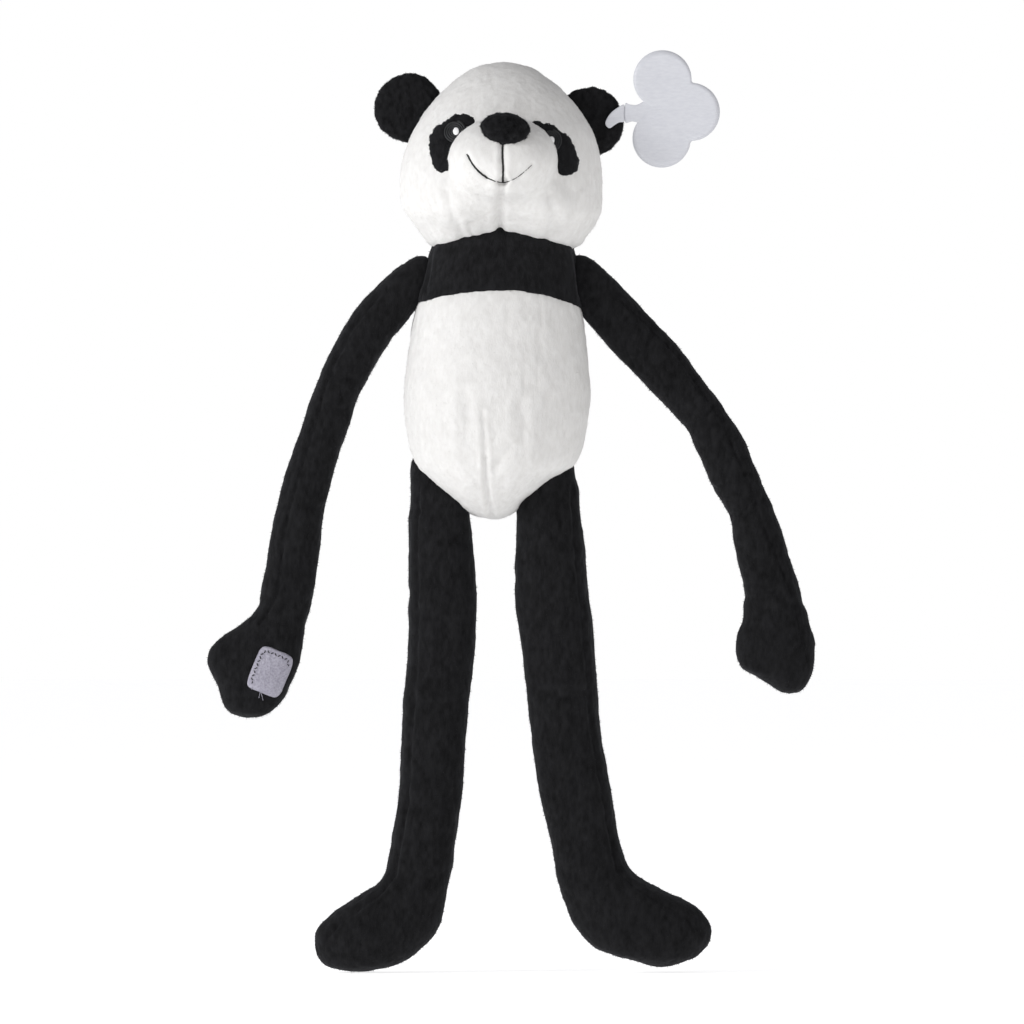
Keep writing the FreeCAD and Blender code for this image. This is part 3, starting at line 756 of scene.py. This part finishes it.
band_verts, band_faces = loft(BAND_ROWS, around=96)
band = one_skin("chest_band_cover", [(bow_seam(band_verts), band_faces)])
relax(band, 1.0, 3)
for x in (-42.8, 46.4):
    for face in (FRONT, BACK):
        crease(band, [(x * 1.03, 64), (x, 76), (x * 0.95, 92)], 1.0, 1.2, face=face, ridge=0.45)
pile(band, PILE_SEED + 120, deep=0.9, tufts=0.16, length=1.4)
dress(band, "black_plush", ["chest_band_front", "chest_band_back"],
      bend=("torso", "head", metres((0, 0, NECK_LOW)), metres((0, 0, NECK_HIGH))))


# ---------------------------------------------------------------- arms and legs
def nodes_of(side, upper, lower):
    return [f"{side}_{part}_{piece}" for part in (upper, lower) for piece in ("front", "back", "stuffing")]


ARM_SEAMS = {
    "right": [(-72, 63), (-88, 43), (-99, 22), (-106, 3), (-112, -20), (-120, -45), (-127, -70),
              (-131, -95), (-134, -118), (-144, -134)],
    "left": [(70, 62), (88, 45), (106, 26), (121, 5), (133, -14), (141, -32), (150, -52), (158, -76),
             (168, -100), (176, -122), (181, -146)],
}
ARM_FOLDS = {
    "right": [([(-84, 7), (-92, 14), (-100, 15)], 1.3, 2.2),
              ([(-100, -62), (-108, -66), (-117, -63)], 0.9, 2.2),
              ([(-96, 30), (-86, 34), (-78, 33)], 0.8, 2.6),
              ([(-134, -108), (-126, -113), (-118, -111)], 0.7, 2.4),
              ([(-92, -8), (-99, -4), (-107, -5)], 0.7, 2.2)],
    "left": [([(112, -16), (121, -12), (129, -3)], 1.2, 2.2),
             ([(128, -54), (138, -51), (147, -44)], 0.9, 2.3),
             ([(138, -70), (148, -66), (157, -60)], 0.8, 2.2), ([(80, 22), (88, 30), (92, 42)], 0.8, 2.6),
             ([(148, -118), (158, -114), (168, -117)], 0.7, 2.4)],
}
for side, stations in ARM_STATIONS.items():
    arm = one_skin(f"{side}_arm_sleeve", [sleeve(stations), loft(HAND_ROWS[side], around=64)], LIMB_VOXEL)
    relax(arm, 1.0, 4)
    crease(arm, ARM_SEAMS[side], 0.9, 1.0, ridge=0.3)
    crease(arm, ARM_SEAMS[side], 0.8, 1.0, face=BACK, ridge=0.3)
    for line, depth, width in ARM_FOLDS[side]:
        crease(arm, line, depth, width, ridge=0.5)
        crease(arm, line, depth * 0.7, width, face=BACK, ridge=0.4)
    arm_tree = tree_of_object(arm)
    pile(arm, PILE_SEED + (140 if side == "right" else 160), deep=0.9, tufts=0.16, length=1.4)
    lean = np.array(stations[12][:2]) - np.array(stations[5][:2])
    dress(arm, "black_plush", nodes_of(side, "upper_arm", "forearm"),
          bend=(f"{side}_upper_arm", f"{side}_forearm",
                *about(f"{side}_elbow", (lean[0], 0, lean[1]), ELBOW_REACH)))

    x0, z0, face = PATCHES[side]
    spin = np.arange(120) / 120 * TURN
    c, s = np.cos(spin), np.sin(spin)
    u = PATCH_HALF[0] * np.sign(c) * np.abs(c) ** PATCH_SQUARE
    v = PATCH_HALF[1] * np.sign(s) * np.abs(s) ** PATCH_SQUARE
    way = PATCH_TURN * face
    ct, st = math.cos(way), math.sin(way)
    edge = np.stack([x0 + u * ct - v * st, z0 + u * st + v * ct], 1)
    tape = pad_on(f"{side}_hand_tape", edge, arm_tree, 1.3, 1.2, rings=24, face=face, lap=14)
    p = get_points(tape)
    mid = 1 - step(0.72, 0.8, np.maximum(
        np.abs((p[:, 0] - x0) * ct + (p[:, 2] - z0) * st) / PATCH_HALF[0],
        np.abs(-(p[:, 0] - x0) * st + (p[:, 2] - z0) * ct) / PATCH_HALF[1]))
    p[:, 1] += face * (noise(p, 0.75, 9) * 0.35 * mid + noise(p, 3, 10) * 0.15)
    put_points(tape, p)
    tape_tree = tree_of_object(tape)
    dress(tape, "fastener_tape", [f"{side}_hand_patch"], body=f"{side}_forearm")
    inset = np.stack([x0 + (u * ct - v * st) * 0.79, z0 + (u * st + v * ct) * 0.79], 1)
    loop = inset[6:80]
    hem = link(f"{side}_hand_tape_stitches", *joined(
        stitches(loop[::6], tape_tree, 2.3, 1.0, 0.3, sink=-0.1, slant=0.5, face=face)))
    coat(hem, "black_thread")
    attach(hem, f"{side}_forearm")
    low = (x0 - 9.5, z0 - 14.0)
    frays = []
    for shift, drop, sway in ((0, 6.5, 1.4), (1.1, 5.0, -0.8), (-4.6, -8.0, 1.0)):
        fx, fz = low[0] + shift + 3, low[1] + 3.5
        fray = [(fx, fz), (fx + sway, fz - drop * 0.5), (fx + sway * 1.6, fz - drop)]
        line = [(x, surface(arm_tree, x, z, face) + face * 1.2, z) for x, z in open_line(fray, 6)]
        frays.append(thread(line, 0.14))
    strands = link(f"{side}_hand_tape_threads", *joined(frays))
    coat(strands, "fastener_tape", smooth=False)
    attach(strands, f"{side}_forearm")

LEG_SEAMS = {
    "right": [(-48.5, -52), (-49.6, -90), (-49.2, -130), (-50.4, -165), (-53.2, -200), (-54.8, -235),
              (-60, -268), (-65, -288), (-80, -302), (-96, -314), (-104, -323)],
    "left": [(43, -52), (44.6, -84), (48, -120), (51.4, -156), (54, -192), (59.6, -228), (66.4, -264),
             (72, -284), (92, -299), (112, -311), (120, -320)],
}
LEG_FOLDS = {
    "right": [([(-51, -66), (-38, -70), (-24, -68)], 0.8, 2.2),
              ([(-50, -180), (-38, -184), (-24, -180)], 0.7, 3.0),
              ([(-62, -284), (-50, -291), (-38, -286)], 0.9, 3.0),
              ([(-44, -84), (-32, -80), (-20, -86)], 0.6, 3.0),
              ([(-57, -240), (-44, -244), (-30, -238)], 0.5, 3.2),
              ([(-48, -128), (-34, -133), (-20, -130)], 0.5, 3.2)],
    "left": [([(22, -172), (36, -178), (54, -174)], 0.7, 3.0),
             ([(42, -284), (54, -290), (68, -284)], 0.9, 3.0),
             ([(14, -88), (28, -82), (42, -86)], 0.6, 3.0),
             ([(30, -236), (44, -242), (60, -238)], 0.5, 3.2),
             ([(16, -128), (30, -134), (46, -130)], 0.5, 3.2)],
}
for side, rows in LEG_ROWS.items():
    leg = one_skin(f"{side}_leg_sleeve", [loft(rows, around=72)])
    relax(leg, 1.0, 4)
    crease(leg, LEG_SEAMS[side], 0.9, 1.1, ridge=0.3)
    crease(leg, LEG_SEAMS[side], 0.8, 1.1, face=BACK, ridge=0.3)
    for line, depth, width in LEG_FOLDS[side]:
        crease(leg, line, depth, width, ridge=0.45)
        crease(leg, line, depth * 0.7, width, face=BACK, ridge=0.4)
    pile(leg, PILE_SEED + (180 if side == "right" else 200), deep=0.9, tufts=0.16, length=1.4)
    dress(leg, "black_plush", nodes_of(side, "thigh", "shin"),
          bend=(f"{side}_thigh", f"{side}_shin", *about(f"{side}_knee", (0, 0, -1), KNEE_REACH)))


# ---------------------------------------------------------------- swing tag
TAG_CENTRE = np.array((101.0, 174.0))
TAG_HINGE = JOINTS["tag_swing"]["pos_m"][0] / MM
TAG_DEPTH = JOINTS["tag_swing"]["pos_m"][1] / MM


def lobes_edge(count=200):
    """The outline of three overlapping round lobes about their middle."""
    angle = np.arange(count) / count * TURN
    way = np.stack([np.cos(angle), np.sin(angle)], 1)
    reach = np.zeros(count)
    for lobe in TAG_LOBES:
        offset = np.array(lobe) - TAG_CENTRE
        along = way @ offset
        inside = TAG_RADIUS**2 - (offset @ offset - along**2)
        reach = np.maximum(reach, np.where(inside > 0, along + np.sqrt(np.maximum(inside, 0)), 0))
    for _ in range(2):
        reach = (np.roll(reach, 1) + 2 * reach + np.roll(reach, -1)) / 4
    return TAG_CENTRE + way * reach[:, None]


def thin_sheet(edge, thick, depth_at, rings=10):
    """A closed thin sheet with that outline and a slightly curled face."""
    centre = edge.mean(0)
    top, under = [], []
    for s in np.linspace(0, 1, rings + 1):
        flat = centre + (edge - centre) * s
        y = depth_at(flat[:, 0], flat[:, 1])
        half = thick / 2 * (1 if s < 1 else 0.3)
        top.append(np.stack([flat[:, 0], y - half, flat[:, 1]], 1))
        under.append(np.stack([flat[:, 0], y + half, flat[:, 1]], 1))
    return capped(top + under[::-1])


def curl(x, z):
    return TAG_DEPTH + 0.00035 * (x - TAG_HINGE) ** 2 * np.sin((z - 150) / 22) + 0.0002 * (z - 172) ** 2


stem = through([(75.0, 167.0), (80, 167.2), (87, 165.4), (94, 166), (101, 170), (101, 177), (94, 181),
                (88, 180), (82, 177.2), (78, 177.4), (75.0, 177.6)], 10, closed=True)
tag = link("swing_tag_sheet", *joined([
    thin_sheet(lobes_edge(), 0.5, curl), thin_sheet(stem, 0.34, curl, rings=8),
]))
dress(tag, "tag_sheet", ["swing_tag"], body="tag")
strap_edge = through([(63.2, 166.2), (64.2, 164), (66, 163.2), (68.4, 164.8), (71.4, 166.6), (74.4, 167.2),
                      (74.5, 172), (74.4, 177.2), (71, 175.8), (67, 172.8), (64.4, 169.4)], 8, closed=True)
strap = link("tag_strap_sheet", *thin_sheet(
    strap_edge, 0.5, lambda x, z: TAG_DEPTH - 0.3 - 0.012 * (TAG_HINGE - x) ** 1.6, rings=8))
dress(strap, "tag_sheet", ["tag_strap"], body="head")


# ---------------------------------------------------------------- floor, light, camera
LOW = cad_box[0].z
floor_mesh = bpy.data.meshes.new("floor")
rim = [
    (FLOOR_RADIUS * math.cos(a), FLOOR_RADIUS * math.sin(a), LOW - FLOOR_DROP)
    for a in np.arange(FLOOR_CORNERS) / FLOOR_CORNERS * TURN
]
floor_mesh.from_pydata(rim, [], [tuple(range(FLOOR_CORNERS))])
floor = bpy.data.objects.new("floor", floor_mesh)
bpy.context.collection.objects.link(floor)
pale = bpy.data.materials.new("pale_floor")
pale.use_nodes = True
pale_shader = pale.node_tree.nodes["Principled BSDF"]
pale_shader.inputs["Base Color"].default_value = (0.9, 0.9, 0.9, 1)
pale_shader.inputs["Roughness"].default_value = 0.9
pale_shader.inputs["Emission Color"].default_value = (1, 1, 1, 1)
pale_shader.inputs["Emission Strength"].default_value = 0.7
floor_mesh.materials.append(pale)

world = bpy.data.worlds.new("studio")
bpy.context.scene.world = world
world.use_nodes = True
w_nodes, w_links = world.node_tree.nodes, world.node_tree.links
sky = w_nodes["Background"]
where = w_nodes.new("ShaderNodeTexCoord")
split = w_nodes.new("ShaderNodeSeparateXYZ")
ramp = w_nodes.new("ShaderNodeValToRGB")
ramp.color_ramp.elements[0].position = 0.06
ramp.color_ramp.elements[0].color = (1, 1, 1, 1)
ramp.color_ramp.elements[1].position = 0.22
ramp.color_ramp.elements[1].color = (0.3, 0.3, 0.31, 1)
w_links.new(where.outputs["Generated"], split.inputs[0])
w_links.new(split.outputs["Z"], ramp.inputs["Fac"])
w_links.new(ramp.outputs["Color"], sky.inputs["Color"])
sky.inputs["Strength"].default_value = 1.0


def lamp(name, place, size, power, tint=(1, 1, 1)):
    data = bpy.data.lights.new(name, "AREA")
    data.size = size
    data.energy = power
    data.color = tint
    obj = bpy.data.objects.new(name, data)
    obj.location = place
    bpy.context.collection.objects.link(obj)
    aim = bpy.data.objects.new(f"{name}_aim", None)
    bpy.context.collection.objects.link(aim)
    track = obj.constraints.new("TRACK_TO")
    track.target = aim
    track.track_axis = "TRACK_NEGATIVE_Z"
    track.up_axis = "UP_Y"


lamp("key", (-2.5, -1.25, 1.0), 1.1, 47, (1, 1, 1))
lamp("fill", (1.6, -2.2, 0.8), 0.9, 5, (1, 0.95, 0.88))

MIDDLE = (0.0072, -0.0672)
VIEW_SPAN = 0.6144
DISTANCE = 8.0
SENSOR = 36
camera_data = bpy.data.cameras.new("camera")
camera_data.sensor_width = SENSOR
camera_data.lens = SENSOR * DISTANCE / VIEW_SPAN
camera_data.clip_end = 100
camera = bpy.data.objects.new("camera", camera_data)
camera.location = (MIDDLE[0], -DISTANCE, MIDDLE[1])
camera.rotation_euler = (math.pi / 2, 0, 0)
bpy.context.collection.objects.link(camera)
bpy.context.scene.camera = camera
bpy.context.scene.view_settings.view_transform = "Standard"

bpy.context.view_layer.update()
